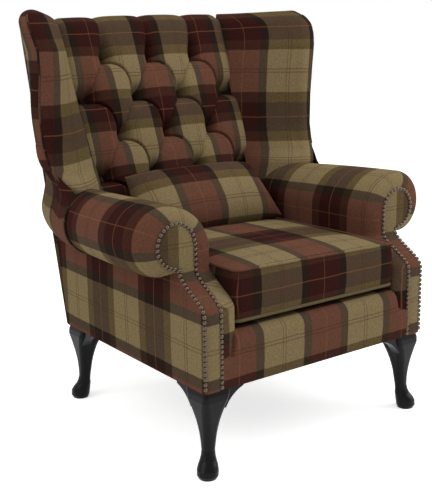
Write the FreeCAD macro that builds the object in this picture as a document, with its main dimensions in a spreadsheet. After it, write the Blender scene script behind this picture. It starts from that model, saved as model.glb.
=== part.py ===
import FreeCAD, Part
import math
import os

from FreeCAD import Placement, Rotation, Vector

# High-back wing chair with scroll arms, deep-buttoned back, loose seat cushion and lumbar pillow.
# X runs across the chair, Y from front to back, Z up.  The origin is on the floor under the middle of
# the chair.  Left and right are the viewer's, looking at the front of the chair.
# Depths are distances behind the front plane, which is the face of the two front arm posts.

doc = FreeCAD.newDocument("wing_chair")
sizes = doc.addObject("Spreadsheet::Sheet", "sizes")
rows = []
nodes = []


def size(alias, value):
    rows.append(alias)
    cell = "B%d" % len(rows)
    sizes.set("A%d" % len(rows), alias)
    sizes.set(cell, str(value))
    sizes.setAlias(cell, alias)


# Overall form
size("front_plane", -393.7)
size("front_half_width", 345)
size("rear_half_width", 310)
size("base_depth", 648)
size("leg_height", 203)
size("seat_half_width", 264)
size("back_top", 1000)
size("back_rake", 0.18)
size("back_flare", 0.029)
size("cover_thickness", 6)
size("fit_gap", 0.3)

# Timber frame
size("rail_thickness", 28)
size("rail_height", 90)
size("post_width", 40)
size("post_depth", 45)
size("post_height", 760)
size("stump_width", 32)
size("stump_depth", 48)
size("stump_top", 500)
size("top_rail_height", 50)
size("lower_rail_lift", 205)
size("lower_rail_height", 60)
size("block_leg", 62)
size("block_height", 45)
size("arm_board_width", 80)
size("arm_board_rear_width", 48)
size("arm_board_taper_depth", 510)
size("arm_board_thickness", 22)
size("arm_board_underside", 470)
size("wing_post_section", 26)
size("wing_rail_height", 40)

# Arms and their scroll fronts
size("scroll_setback", 88)
size("shoulder_height", 385)
size("neck_height", 446)
size("ogee_radius", 62)
size("roll_x", 375)
size("roll_z", 525)
size("roll_radius", 80)
size("roll_rear_x", 286)
size("roll_rear_radius", 68)
size("roll_seam_depth", 415)
size("roll_sweep", 2.4)
size("border_depth", 42)
size("inner_spring_height", 500)
size("arm_pad_thickness", 34)
size("neck_fillet", 14)
size("facing_x", 350)
size("facing_z", 515)
size("facing_radius", 48)
size("facing_strip_outer", 341)
size("facing_strip_inner", 302)
size("facing_recess", 1.5)
size("facing_board", 6)
size("facing_fillet", 12)

# Back
size("lowest_button", 495)
size("button_row_pitch", 98.75)
size("button_pitch", 145.5)
size("button_plane_depth", 549)
size("inside_rake", 0.39)
size("tuft_depth", 36)
size("tuft_mouth", 46)
size("button_radius", 11)
size("button_height", 6)
size("button_rows", 5)
size("back_crown", 10)
size("top_roll", 34)

# Wings
size("wing_nose_radius", 36)
size("wing_inner_setback", 22)
size("wing_nose_turn", 44)

# Seat
size("deck_thickness", 46)
size("webbing_width", 52)
size("webbing_thickness", 2)
size("front_border_depth", 50)
size("front_border_rise", 128)
size("front_border_round", 24)
size("cushion_thickness", 114)
size("cushion_front", 8)
size("cushion_round", 20)
size("cushion_skin", 3)
size("piping_radius", 4)
size("pillow_width", 486)
size("pillow_height", 178)
size("pillow_thickness", 118)
size("pillow_skin", 2.5)

# Legs
size("leg_inset", 44)
size("ear_reach", 44)
size("ear_drop", 46)
size("ear_thickness", 24)
size("bolt_radius", 4)
size("bolt_length", 70)

doc.recompute()


def val(alias):
    return float(sizes.get(alias))


def deep(depth):
    return val("front_plane") + depth


def keep(obj, label):
    obj.Label = label
    nodes.append(obj)
    return obj


def solid(label, shape):
    obj = doc.addObject("Part::Feature", label)
    obj.Shape = shape
    return obj


def box(label, length, width, height, x, y, z):
    obj = doc.addObject("Part::Box", label)
    for prop, text in (("Length", length), ("Width", width), ("Height", height)):
        obj.setExpression(prop, text)
    for axis, text in (("x", x), ("y", y), ("z", z)):
        obj.setExpression("Placement.Base." + axis, text)
    return obj


def mirrored(source, label):
    obj = doc.addObject("Part::Mirroring", label)
    obj.Source = source
    obj.Normal = Vector(1, 0, 0)
    return keep(obj, label)


def pair(obj, name):
    keep(obj, "right_" + name)
    mirrored(obj, "left_" + name)


def cut(label, base, *tools):
    obj = doc.addObject("Part::Cut", label)
    obj.Base = base
    if len(tools) == 1:
        obj.Tool = tools[0]
    else:
        group = doc.addObject("Part::MultiFuse", label + "_tools")
        group.Shapes = list(tools)
        obj.Tool = group
    return obj


# A closed or open outline through plane points, each corner rounded by its own radius.
def outline(points, plane, closed=True):
    corners = [Vector(p[0], p[1], 0) for p in points]
    radii = [p[2] if len(p) > 2 else 0 for p in points]
    count = len(corners)
    joints = []
    for i, here in enumerate(corners):
        if radii[i] == 0 or (not closed and i in (0, count - 1)):
            joints.append((here, here, here))
            continue
        before = (corners[i - 1] - here).normalize()
        after = (corners[(i + 1) % count] - here).normalize()
        half = before.getAngle(after) / 2
        run = radii[i] / math.tan(half)
        centre = here + (before + after).normalize() * (radii[i] / math.sin(half))
        middle = centre + (here - centre).normalize() * radii[i]
        joints.append((here + before * run, middle, here + after * run))
    edges = []
    for i, (start, middle, end) in enumerate(joints):
        if start.distanceToPoint(end) > 1e-6:
            edges.append(Part.Arc(plane(start), plane(middle), plane(end)).toShape())
        following = joints[(i + 1) % count][0]
        if (closed or i < count - 1) and end.distanceToPoint(following) > 1e-6:
            edges.append(Part.LineSegment(plane(end), plane(following)).toShape())
    return Part.Wire(edges)


def front_view(y):
    return lambda p: Vector(p.x, y, p.y)


def side_view(x):
    return lambda p: Vector(x, deep(p.x), p.y)


def plan_view(z):
    return lambda p: Vector(p.x, deep(p.y), z)


def prism(wire, direction):
    return Part.Face(wire).extrude(direction)


# Where the outside back and the button plane stand at a height.
def outside_back(z):
    return val("base_depth") + val("back_rake") * (z - val("leg_height"))


def button_plane(z):
    return val("button_plane_depth") + val("inside_rake") * (z - val("lowest_button"))


def post_front(z):
    return outside_back(z) - val("cover_thickness") - val("post_depth") / math.cos(rake_angle)


def side_x(depth):
    taper = (val("front_half_width") - val("rear_half_width")) / val("base_depth")
    return val("front_half_width") - taper * depth


rake_angle = math.atan(val("back_rake"))
inside_angle = math.atan(val("inside_rake"))
side_angle = math.atan((val("front_half_width") - val("rear_half_width")) / val("base_depth"))
front = "sizes.front_plane"
base_z = "sizes.leg_height"
base = val("leg_height")
reach = 2000
above = 1200

# TIMBER FRAME
# The front stumps are sawn to the ogee of the arm front.
setback = val("scroll_setback")


def ogee(offset, top, back_offset=None):
    radius = val("ogee_radius")
    rise = [(offset, base), (offset, val("shoulder_height"), radius)]
    rise += [(offset + setback, val("neck_height"), radius), (offset + setback, top)]
    if back_offset is None:
        return rise + [(reach, top), (reach, base)]
    fall = [(back_offset + setback, top), (back_offset + setback, val("neck_height"), radius)]
    return rise + fall + [(back_offset, val("shoulder_height"), radius), (back_offset, base)]


facing_back = val("facing_recess") + val("facing_board")
stump_front = val("border_depth")
stump_x = val("facing_strip_inner") - 6
stump_wire = outline(
    ogee(stump_front, val("stump_top"), stump_front + val("stump_depth")), side_view(stump_x)
)
bolt_low = base - 28
bolt_clear = val("bolt_radius") + val("fit_gap") / 2


def bolt(place, radius):
    return Part.makeCylinder(radius, val("bolt_length"), Vector(place[0], place[1], bolt_low))


front_bolt = (stump_x + val("stump_width") / 2, deep(stump_front + 14))
stump_blank = prism(stump_wire, Vector(val("stump_width"), 0, 0))
stump = solid("arm_stump", stump_blank.cut(bolt(front_bolt, bolt_clear)))
pair(stump, "arm_stump")

front_rail = box(
    "front_rail", "2 * (%s)" % stump_x, "sizes.rail_thickness", "sizes.rail_height",
    "-(%s)" % stump_x, front + " + %s" % stump_front, base_z,
)
keep(front_rail, "front_seat_rail")

# Raked back posts, and the rails between them.
post_x = val("rear_half_width") - val("cover_thickness") - 2 - val("post_width")


def raked_box(label, length, width, height, x, z, thickness_back):
    obj = doc.addObject("Part::Box", label)
    obj.setExpression("Length", length)
    obj.setExpression("Width", width)
    obj.setExpression("Height", height)
    y = deep(outside_back(z) - thickness_back / math.cos(rake_angle))
    obj.Placement = Placement(Vector(x, y, z), Rotation(Vector(1, 0, 0), -math.degrees(rake_angle)))
    return obj


post_back = val("cover_thickness") + val("post_depth")
lean = val("post_depth") * math.sin(rake_angle)
post_blank = raked_box(
    "back_post_blank", "sizes.post_width", "sizes.post_depth", "sizes.post_height + 10",
    post_x, base - lean, post_back,
)
floor_block = box(
    "frame_underside", "3000 mm", "3000 mm", "500 mm", "-1500", "-1500", base_z + " - 500"
)
rear_bolt = (post_x + val("post_width") / 2, deep(post_front(base) + 20))
post_hole = doc.addObject("Part::Cylinder", "post_bolt_hole")
post_hole.setExpression("Radius", "sizes.bolt_radius + sizes.fit_gap / 2")
post_hole.setExpression("Height", "sizes.bolt_length")
post_hole.Placement.Base = Vector(rear_bolt[0], rear_bolt[1], bolt_low)
post = cut("back_post", post_blank, floor_block, post_hole)
pair(post, "back_post")

top_rail_z = base + (val("post_height") - val("top_rail_height")) * math.cos(rake_angle)
top_rail = raked_box(
    "top_rail", "2 * %s" % post_x, "sizes.post_depth", "sizes.top_rail_height",
    -post_x, top_rail_z, post_back,
)
keep(top_rail, "back_top_rail")
lower_rail = raked_box(
    "lower_rail", "2 * %s" % post_x, "sizes.rail_thickness", "sizes.lower_rail_height",
    -post_x, base + val("lower_rail_lift"), post_back,
)
keep(lower_rail, "back_lower_rail")
back_rail_front = post_front(base)
back_rail = box(
    "back_rail", "2 * %s" % post_x, "sizes.rail_thickness", "sizes.rail_height",
    "-(%s)" % post_x, front + " + %s + sizes.back_rake * sizes.rail_height" % back_rail_front, base_z,
)
keep(back_rail, "back_seat_rail")

# Side rails follow the taper of the base.
rail_from = stump_front + val("stump_depth")
rail_to = post_front(base)
rail_length = (rail_to - rail_from) / math.cos(side_angle)
rail_gap = 2
side_rail = doc.addObject("Part::Box", "side_rail")
side_rail.setExpression("Length", "sizes.rail_thickness")
side_rail.Width = rail_length - 2 * rail_gap
side_rail.setExpression("Height", "sizes.rail_height + sizes.webbing_thickness")
rail_x = side_x(rail_from) - val("cover_thickness") - 2 - val("rail_thickness")
side_rail.Placement = Placement(
    Vector(rail_x, deep(rail_from + rail_gap), base), Rotation(Vector(0, 0, 1), math.degrees(side_angle))
)
pair(side_rail, "seat_side_rail")

# Glued corner blocks behind the front rail and in front of the back rail.
block_shapes = []
leg = val("block_leg")
front_corner = stump_front + val("rail_thickness")
back_corner = back_rail_front + val("back_rake") * val("rail_height")
for sign in (1, -1):
    corner = (stump_x - 4) * sign
    ahead = [(corner, front_corner), (corner - leg * sign, front_corner)]
    ahead.append((corner, front_corner + leg))
    corner = post_x * sign
    behind = [(corner, back_corner), (corner - leg * sign, back_corner)]
    behind.append((corner, back_corner - leg))
    for points in (ahead, behind):
        wire = outline(points, plan_view(base + 20))
        block_shapes.append(prism(wire, Vector(0, 0, val("block_height"))))
blocks = solid("corner_blocks", Part.makeCompound(block_shapes))
keep(blocks, "corner_blocks")

# Flat boards that carry the arm rolls, from the stumps to the outside of the back posts.
board_x = post_x + val("post_width")
board_front = stump_front + setback + val("stump_depth") + val("fit_gap")
board_back = outside_back(val("arm_board_underside")) - val("cover_thickness") - 6
board_points = [
    (board_x, board_front),
    (board_x + val("arm_board_width"), board_front),
    (board_x + val("arm_board_width"), val("arm_board_taper_depth")),
    (board_x + val("arm_board_rear_width"), board_back),
    (board_x, board_back),
]
board_wire = outline(board_points, plan_view(val("arm_board_underside")))
board = solid("arm_board", prism(board_wire, Vector(0, 0, val("arm_board_thickness"))))
pair(board, "arm_board")
board_top = val("arm_board_underside") + val("arm_board_thickness")

# Everything in front of the outside back, and everything behind the padded arm front.
back_limit = outline(
    [
        (-100, base - 10),
        (outside_back(base - 10) - val("cover_thickness"), base - 10),
        (outside_back(above) - val("cover_thickness"), above),
        (-100, above),
    ],
    side_view(0),
)
before_back = prism(back_limit, Vector(reach, 0, 0))
behind_front = prism(outline(ogee(val("border_depth"), above), side_view(0)), Vector(reach, 0, 0))

# WINGS
# Front edge of the wing as the eye follows it upwards: height, distance out, depth.
wing_edge = [
    (500, 384, 470, 36),
    (600, 406, 452, 36),
    (640, 420, 477, 36),
    (700, 425, 498, 36),
    (800, 435, 505, 36),
    (900, 448, 506, 36),
    (965, 460, 524, 34),
    (val("back_top"), 448, 566, 24),
]
nose_turn = math.radians(val("wing_nose_turn"))


def nose(station):
    z, x, depth, radius = station
    centre = Vector(x - radius * math.cos(nose_turn), depth + radius * math.sin(nose_turn), 0)
    return centre, radius


def tangent(point, centre, radius, side):
    toward = point - centre
    turn = side * math.acos(radius / toward.Length)
    unit = toward.normalize()
    cosine, sine = math.cos(turn), math.sin(turn)
    return centre + Vector(unit.x * cosine - unit.y * sine, unit.x * sine + unit.y * cosine, 0) * radius


def rear_corner(z, inset):
    return Vector(val("rear_half_width") + val("back_flare") * (z - base) - inset, outside_back(z) - inset, 0)


pad_half = val("seat_half_width") - val("fit_gap")


def wing_section(station):
    z = station[0]
    place = plan_view(z)
    centre, radius = nose(station)
    inner = Vector(val("seat_half_width"), button_plane(z) - val("wing_inner_setback"), 0)
    rear = rear_corner(z, val("cover_thickness"))
    first = tangent(inner, centre, radius, 1)
    last = tangent(rear, centre, radius, -1)
    middle = centre + ((first - centre) + (last - centre)).normalize() * radius
    clear = val("fit_gap")
    points = [
        rear,
        Vector(post_x + val("post_width") + clear, rear.y, 0),
        Vector(post_x + val("post_width") + clear, post_front(z) - clear, 0),
        Vector(val("seat_half_width"), post_front(z) - clear, 0),
        inner,
    ]
    edges = [Part.LineSegment(place(inner), place(first)).toShape()]
    edges.append(Part.Arc(place(first), place(middle), place(last)).toShape())
    trail = [last] + points
    for start, end in zip(trail, trail[1:]):
        edges.append(Part.LineSegment(place(start), place(end)).toShape())
    return Part.Wire(edges)


def wing_panel_section(station):
    z = station[0]
    centre, radius = nose(station)
    rear = rear_corner(z, val("cover_thickness"))
    last = tangent(rear, centre, radius, -1)
    along = (rear - last).normalize()
    out = Vector(along.y, -along.x, 0)
    near, far = out * val("fit_gap"), out * val("cover_thickness")
    corners = [last + near, rear + near, rear + far, last + far]
    place = plan_view(z)
    return Part.makePolygon([place(p) for p in corners + corners[:1]])


wing_blank = Part.makeLoft([wing_section(s) for s in wing_edge], True, True)
panel_blank = Part.makeLoft([wing_panel_section(s) for s in wing_edge], True, True)

# Wing frame: a leaning post behind the front edge and a short rail to the back post.
half = val("wing_post_section") / 2
low, high = wing_edge[1], wing_edge[-2]
lean_x = (nose(high)[0].x - nose(low)[0].x) / (high[0] - low[0])
lean_y = (nose(high)[0].y - nose(low)[0].y) / (high[0] - low[0])


def stick_centre(z):
    foot = nose(low)[0]
    return Vector(foot.x + lean_x * (z - low[0]), foot.y + lean_y * (z - low[0]), 0)


def square_at(z):
    middle = stick_centre(z)
    corners = [(-half, -half), (half, -half), (half, half), (-half, half)]
    return outline([(middle.x + x, middle.y + y) for x, y in corners], plan_view(z))


stick_top = high[0] - 10
stick = Part.makeLoft([square_at(board_top), square_at(stick_top)], True, True)
wing_post = solid("wing_post", stick)
pair(wing_post, "wing_post")

rail_top = stick_top - 6
rail_low = rail_top - val("wing_rail_height")
bar_start = Vector(board_x + val("fit_gap"), post_front(rail_low) + val("post_depth"), 0)
bar_end = stick_centre(rail_low)
bar_way = (bar_end - bar_start).normalize()
bar_end = bar_end - bar_way * (half * 1.5)
bar_side = Vector(-bar_way.y, bar_way.x, 0) * (half * 0.8)
bar_corners = [bar_start - bar_side, bar_end - bar_side, bar_end + bar_side, bar_start + bar_side]
bar_wire = outline([(p.x, p.y) for p in bar_corners], plan_view(rail_low))
doc.recompute()
bar = prism(bar_wire, Vector(0, 0, val("wing_rail_height"))).common(before_back)
wing_rail = solid("wing_rail", bar.cut([post.Shape, stick]))
pair(wing_rail, "wing_rail")

# ARMS
inner_wall = val("seat_half_width")
wall_back = inner_wall + val("arm_pad_thickness")
spring = val("inner_spring_height")
roll_floor = board_top - val("arm_board_thickness") - 28


def roll_at(depth):
    rear = outside_back(val("roll_z"))
    share = max(0, (depth - setback) / (rear - setback))
    edge = val("roll_x") + val("roll_radius")
    rear_edge = val("roll_rear_x") + val("roll_rear_radius")
    radius = val("roll_radius") + (val("roll_rear_radius") - val("roll_radius")) * min(share, 1)
    out = edge + (rear_edge - edge) * share ** val("roll_sweep")
    return out - radius, radius


def arm_section(depth):
    x, radius = roll_at(depth)
    z = val("roll_z")
    place = front_view(deep(depth))
    bottom = base + val("rail_height") + 2 * val("webbing_thickness") + val("fit_gap")
    top = Vector(x, z + radius, 0)
    haunch = Vector(x - (x - inner_wall) * math.sqrt(0.5), spring + (top.y - spring) * math.sqrt(0.5), 0)
    under = Vector(x + radius * math.cos(math.pi / 3), z - radius * math.sin(math.pi / 3), 0)
    tail = max(side_x(depth) - val("cover_thickness"), wall_back + 4)
    tail = min(tail, under.x - 4)
    points = [under, (tail, roll_floor), (wall_back, roll_floor), (wall_back, bottom)]
    points += [(inner_wall, bottom), (inner_wall, spring)]
    trail = [place(Vector(p[0], p[1], 0)) for p in points]
    edges = [Part.LineSegment(a, b).toShape() for a, b in zip(trail, trail[1:])]
    edges.append(Part.Arc(trail[-1], place(haunch), place(top)).toShape())
    edges.append(Part.Arc(place(top), place(Vector(x + radius, z, 0)), trail[0]).toShape())
    return Part.Wire(edges)


roll_stations = [0, setback, 190, 300, val("roll_seam_depth"), 500, 570, 640, 720]
roll_blank = Part.makeLoft([arm_section(d) for d in roll_stations], True, True)

doc.recompute()
timbers = [stump.Shape, board.Shape, post.Shape, wing_post.Shape]
seam = val("roll_seam_depth")
outside = Part.makeBox(reach, reach, reach, Vector(board_x + 2, deep(seam), 0))
arm_pad = roll_blank.common(before_back).common(behind_front).cut(timbers)
lobe = arm_pad.common(outside)
arm_pad = arm_pad.cut(outside)


def largest(shape):
    return max(shape.Solids, key=lambda s: s.Volume)


pair(solid("arm_pad", largest(arm_pad)), "arm_pad")

# Padded front of the arm, which follows the ogee and wraps the scroll.
x, radius = roll_at(0)
z = val("roll_z")
outer = val("front_half_width")
fillet = val("neck_fillet")


def scroll_outline(centre_x, centre_z, radius, inner_x, outer_x, fillet, inner_top):
    fillet_x = outer_x + fillet
    fillet_z = centre_z - math.sqrt((radius + fillet) ** 2 - (fillet_x - centre_x) ** 2)
    centre = Vector(centre_x, centre_z, 0)
    hollow = Vector(fillet_x, fillet_z, 0)
    way = (hollow - centre).normalize()
    meet = centre + way * radius
    hollow_middle = hollow - (way + Vector(1, 0, 0)).normalize() * fillet
    rise = centre_x - inner_x
    haunch = Vector(centre_x - rise * math.sqrt(0.5), 0, 0)
    haunch.y = inner_top + (centre_z + radius - inner_top) * math.sqrt(0.5)
    place = front_view(deep(-60))
    start, shoulder = Vector(inner_x, base, 0), Vector(inner_x, inner_top, 0)
    crown = Vector(centre_x, centre_z + radius, 0)
    side = Vector(centre_x + radius, centre_z, 0)
    neck, foot = Vector(outer_x, fillet_z, 0), Vector(outer_x, base, 0)
    return Part.Wire([
        Part.LineSegment(place(start), place(shoulder)).toShape(),
        Part.Arc(place(shoulder), place(haunch), place(crown)).toShape(),
        Part.Arc(place(crown), place(side), place(meet)).toShape(),
        Part.Arc(place(meet), place(hollow_middle), place(neck)).toShape(),
        Part.LineSegment(place(neck), place(foot)).toShape(),
        Part.LineSegment(place(foot), place(start)).toShape(),
    ])


back_way = Vector(0, 400, 0)
border_wire = scroll_outline(x, z, radius, inner_wall, outer, fillet, spring)
border_band = prism(outline(ogee(0, above, val("border_depth")), side_view(0)), Vector(reach, 0, 0))
facing_wire = scroll_outline(
    val("facing_x"), val("facing_z"), val("facing_radius"), val("facing_strip_inner"),
    val("facing_strip_outer"), val("facing_fillet"), val("facing_z"),
)
facing_band = prism(outline(ogee(val("facing_recess"), above, facing_back), side_view(0)), Vector(reach, 0, 0))
recess_band = prism(outline(ogee(-50, above, facing_back), side_view(0)), Vector(reach, 0, 0))
facing_prism = prism(facing_wire, back_way)
facing = facing_prism.common(facing_band)
border = prism(border_wire, back_way).common(border_band).cut(facing_prism.common(recess_band))
pair(solid("arm_front_border", largest(border)), "arm_front_border")
pair(solid("arm_facing", largest(facing)), "arm_facing")

# Outside arm panel, under the roll.
panel_height = roll_floor - base
side_panel = doc.addObject("Part::Wedge", "outside_arm")
side_panel.Xmin = side_panel.X2min = side_panel.Ymin = side_panel.Zmin = side_panel.Z2min = 0
panel_front = val("border_depth")
panel_run = (val("base_depth") - val("cover_thickness") - panel_front) / math.cos(side_angle)
side_panel.Xmax = panel_run
side_panel.X2max = panel_run + val("back_rake") * panel_height
side_panel.Ymax = panel_height
side_panel.setExpression("Zmax", "sizes.cover_thickness")
side_panel.setExpression("Z2max", "sizes.cover_thickness")
along = Vector(-math.sin(side_angle), math.cos(side_angle), 0)
across = Vector(math.cos(side_angle), math.sin(side_angle), 0)
side_panel.Placement = Placement(
    Vector(side_x(panel_front) - val("cover_thickness"), deep(panel_front), base),
    Rotation(along, Vector(0, 0, 1), across, "XYZ"),
)
side_panel_cut = doc.addObject("Part::Common", "outside_arm_panel")
side_panel_cut.Base = side_panel
side_panel_cut.Tool = solid("arm_side_space", behind_front.common(before_back))
pair(side_panel_cut, "outside_arm")

# Wing pad on its frame, and the outside wing whose lower end wraps the back of the arm roll.
roll_whole = roll_blank.common(before_back)
wing_tools = [roll_whole, wing_post.Shape, wing_rail.Shape, post.Shape]


def cap_section(z):
    place = plan_view(z)
    points = [(val("seat_half_width"), post_front(z) - 2), (board_x + 2, post_front(z) - 2)]
    points += [(board_x + 2, outside_back(z) - val("cover_thickness"))]
    points += [(val("seat_half_width"), outside_back(z) - val("cover_thickness"))]
    return outline(points, place)


cap_low = post.Shape.BoundBox.ZMax + val("fit_gap")
cap = Part.makeLoft([cap_section(cap_low), cap_section(val("back_top"))], True, True)
wing_pad = wing_blank.common(before_back).fuse(cap).cut(wing_tools)
pair(solid("wing_pad", largest(wing_pad)), "wing_pad")
outside_wing = panel_blank.common(before_back).cut(roll_whole)
pair(solid("outside_wing", largest(outside_wing)), "outside_wing")
pair(solid("wing_skirt", largest(lobe)), "wing_skirt")

# BACK
def back_face(z):
    return button_plane(z) - val("tuft_depth")


webbing_top = base + val("rail_height") + 2 * val("webbing_thickness")
deck_top = webbing_top + val("deck_thickness")
pad_bottom = deck_top + val("fit_gap")
rail_cap = top_rail_z + val("top_rail_height") + 10
crown = val("back_top") + val("back_crown")
round_top = val("top_roll")
pad_profile = outline(
    [
        (back_face(pad_bottom), pad_bottom),
        (back_face(crown - round_top), crown - round_top, 20),
        (back_face(crown) + round_top / 2, crown, 20),
        (outside_back(crown) - val("cover_thickness"), crown, 16),
        (outside_back(rail_cap) - val("cover_thickness"), rail_cap),
        (post_front(rail_cap) - 1, rail_cap),
        (post_front(pad_bottom) - 1, pad_bottom),
    ],
    side_view(-pad_half),
)
pad_blank = prism(pad_profile, Vector(2 * pad_half, 0, 0))
outward = Vector(0, -math.cos(inside_angle), math.sin(inside_angle))
button_places = []
for row in range(int(val("button_rows"))):
    z = val("lowest_button") + row * val("button_row_pitch")
    columns = (-1, 0, 1) if row % 2 == 0 else (-1.5, -0.5, 0.5, 1.5)
    for column in columns:
        button_places.append(Vector(column * val("button_pitch"), deep(button_plane(z)), z))
pocket_depth = val("tuft_depth") * math.cos(inside_angle) + 1
clear_radius = val("button_radius") + 1
pockets = [
    Part.makeCone(clear_radius, val("tuft_mouth"), pocket_depth, place, outward) for place in button_places
]
stumps = [rail.Shape for rail in (top_rail, lower_rail)]
arm_walls = [arm_pad, arm_pad.mirror(Vector(0, 0, 0), Vector(1, 0, 0))]
inside_back = largest(pad_blank.cut(pockets).cut(stumps + arm_walls))
keep(solid("inside_back_pad", inside_back), "inside_back_pad")
button_sizes = (val("button_radius"), 0.6 * val("button_radius"), val("button_height"))
buttons = [Part.makeCone(*button_sizes, place, outward) for place in button_places]
keep(solid("back_buttons", Part.makeCompound(buttons)), "back_buttons")

outside_panel = doc.addObject("Part::Wedge", "outside_back")
slope = (crown - base) / math.cos(rake_angle)
flare = val("back_flare") * (crown - base)
outside_panel.Ymin = outside_panel.Zmin = outside_panel.Z2min = 0
outside_panel.Ymax = slope
outside_panel.Xmin = -val("rear_half_width")
outside_panel.Xmax = val("rear_half_width")
outside_panel.X2min = -val("rear_half_width") - flare
outside_panel.X2max = val("rear_half_width") + flare
outside_panel.Zmax = val("cover_thickness") * math.cos(rake_angle)
outside_panel.Z2max = val("cover_thickness") * math.cos(rake_angle)
outside_panel.Placement = Placement(
    Vector(0, deep(outside_back(base)), base), Rotation(Vector(1, 0, 0), 90 - math.degrees(rake_angle))
)
keep(outside_panel, "outside_back_panel")

# SEAT
webbing_z = base + val("rail_height")
long_back = back_rail_front + val("back_rake") * val("rail_height") + val("rail_thickness")
long_bands = []
for column in (-1.5, -0.5, 0.5, 1.5):
    corner = Vector(column * 120 - val("webbing_width") / 2, deep(stump_front + 4), webbing_z)
    long_bands.append(
        Part.makeBox(val("webbing_width"), long_back - stump_front - 8, val("webbing_thickness"), corner)
    )
keep(solid("seat_webbing_long", Part.makeCompound(long_bands)), "seat_webbing_long")
cross_bands = []
for share in (0.16, 0.38, 0.6, 0.82):
    depth = rail_from + share * (rail_to - rail_from)
    arm = side_x(depth + val("webbing_width")) - val("cover_thickness") - 8
    corner = Vector(-arm, deep(depth), webbing_z + val("webbing_thickness"))
    cross_bands.append(Part.makeBox(2 * arm, val("webbing_width"), val("webbing_thickness"), corner))
keep(solid("seat_webbing_cross", Part.makeCompound(cross_bands)), "seat_webbing_cross")

deck_front = val("front_border_depth")
deck_back = post_front(webbing_top) - 6
deck = Part.makeBox(
    2 * pad_half, deck_back - deck_front, val("deck_thickness"), Vector(-pad_half, deep(deck_front), webbing_top)
)
keep(solid("seat_deck", deck), "seat_deck")

rise = base + val("front_border_rise")
round_front = val("front_border_round")
border_profile = outline(
    [
        (0, base),
        (0, rise, round_front),
        (deck_front, rise, 10),
        (deck_front, webbing_top),
        (stump_front, webbing_top),
        (stump_front, base),
    ],
    side_view(-pad_half),
)
keep(solid("front_border", prism(border_profile, Vector(2 * pad_half, 0, 0))), "front_border")

cover_edge = 8
foot_clear = val("leg_inset") + val("ear_reach") + 44
thin = 1.2
front_x = side_x(foot_clear) - cover_edge
rear_x = side_x(val("base_depth") - foot_clear) - cover_edge
inner_front = val("front_half_width") - foot_clear
inner_rear = val("rear_half_width") - foot_clear
right_edge = [
    (inner_front, cover_edge),
    (inner_front, foot_clear),
    (front_x, foot_clear),
    (rear_x, val("base_depth") - foot_clear),
    (inner_rear, val("base_depth") - foot_clear),
    (inner_rear, val("base_depth") - cover_edge),
]
left_edge = [(-x, y) for x, y in reversed(right_edge)]
dust = prism(outline(right_edge + left_edge, plan_view(base - thin)), Vector(0, 0, thin))
keep(solid("dust_cover", dust), "dust_cover")

# Loose seat cushion: a skin round a foam block.
def rounded_block(length, width, height, radius, corner):
    block = Part.makeBox(length, width, height, corner)
    return block.makeFillet(radius, block.Edges)


cushion_z = deck_top + val("fit_gap")
cushion_half = inner_wall - 1
cushion_back = back_face(pad_bottom) - 1
cushion_front = val("cushion_front")
skin = val("cushion_skin")
round_off = val("cushion_round")
cushion_size = (2 * cushion_half, cushion_back - cushion_front, val("cushion_thickness"))
cushion_corner = Vector(-cushion_half, deep(cushion_front), cushion_z)
cushion = rounded_block(*cushion_size, round_off, cushion_corner)
core_size = [side - 2 * skin for side in cushion_size]
core_corner = cushion_corner + Vector(skin, skin, skin)
core = rounded_block(*core_size, round_off - skin, core_corner)
keep(solid("seat_cushion_cover", cushion.cut(core)), "seat_cushion_cover")
keep(solid("seat_cushion_foam", core), "seat_cushion_foam")

# Loose lumbar pillow, knife-edged, leaning on the buttoned back.
pillow_bottom = cushion_z + val("cushion_thickness") + val("fit_gap")
pillow_lean = Rotation(Vector(1, 0, 0), -math.degrees(inside_angle))


def lens(x, height, thickness):
    low_point, high_point = Vector(x, 0, -height / 2), Vector(x, 0, height / 2)
    front_point, back_point = Vector(x, -thickness / 2, 0), Vector(x, thickness / 2, 0)
    arcs = [Part.Arc(low_point, front_point, high_point), Part.Arc(high_point, back_point, low_point)]
    return Part.Wire([arc.toShape() for arc in arcs])


def pillow_form(shrink):
    length = val("pillow_width") / 2 - shrink
    height = val("pillow_height") - 2 * shrink
    thick = val("pillow_thickness") - 2 * shrink
    swell = ((-1, 0.94, 0.1), (-0.8, 0.94, 0.66), (-0.4, 0.98, 0.96), (0, 1, 1))
    swell += ((0.4, 0.98, 0.96), (0.8, 0.94, 0.66), (1, 0.94, 0.1))
    return Part.makeLoft([lens(length * s, height * h, thick * w) for s, h, w in swell], True, True)


# It settles until it rests on the cushion and against the back.
pillow_outer = pillow_form(0)
pillow_inner = pillow_form(val("pillow_skin"))
pillow_outer.Placement = Placement(Vector(), pillow_lean)
pillow_z = pillow_bottom - pillow_outer.optimalBoundingBox(False).ZMin
pillow_y = deep(back_face(pillow_z) - val("pillow_thickness"))
pillow_outer.Placement = Placement(Vector(0, pillow_y, pillow_z), pillow_lean)
for attempt in range(3):
    clearance = pillow_outer.distToShape(inside_back)[0]
    pillow_y += (clearance - val("fit_gap")) / math.cos(inside_angle)
    pillow_outer.Placement = Placement(Vector(0, pillow_y, pillow_z), pillow_lean)
pillow_inner.Placement = pillow_outer.Placement
keep(solid("lumbar_pillow_cover", pillow_outer.cut(pillow_inner)), "lumbar_pillow_cover")
keep(solid("lumbar_pillow_filling", pillow_inner), "lumbar_pillow_filling")

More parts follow.
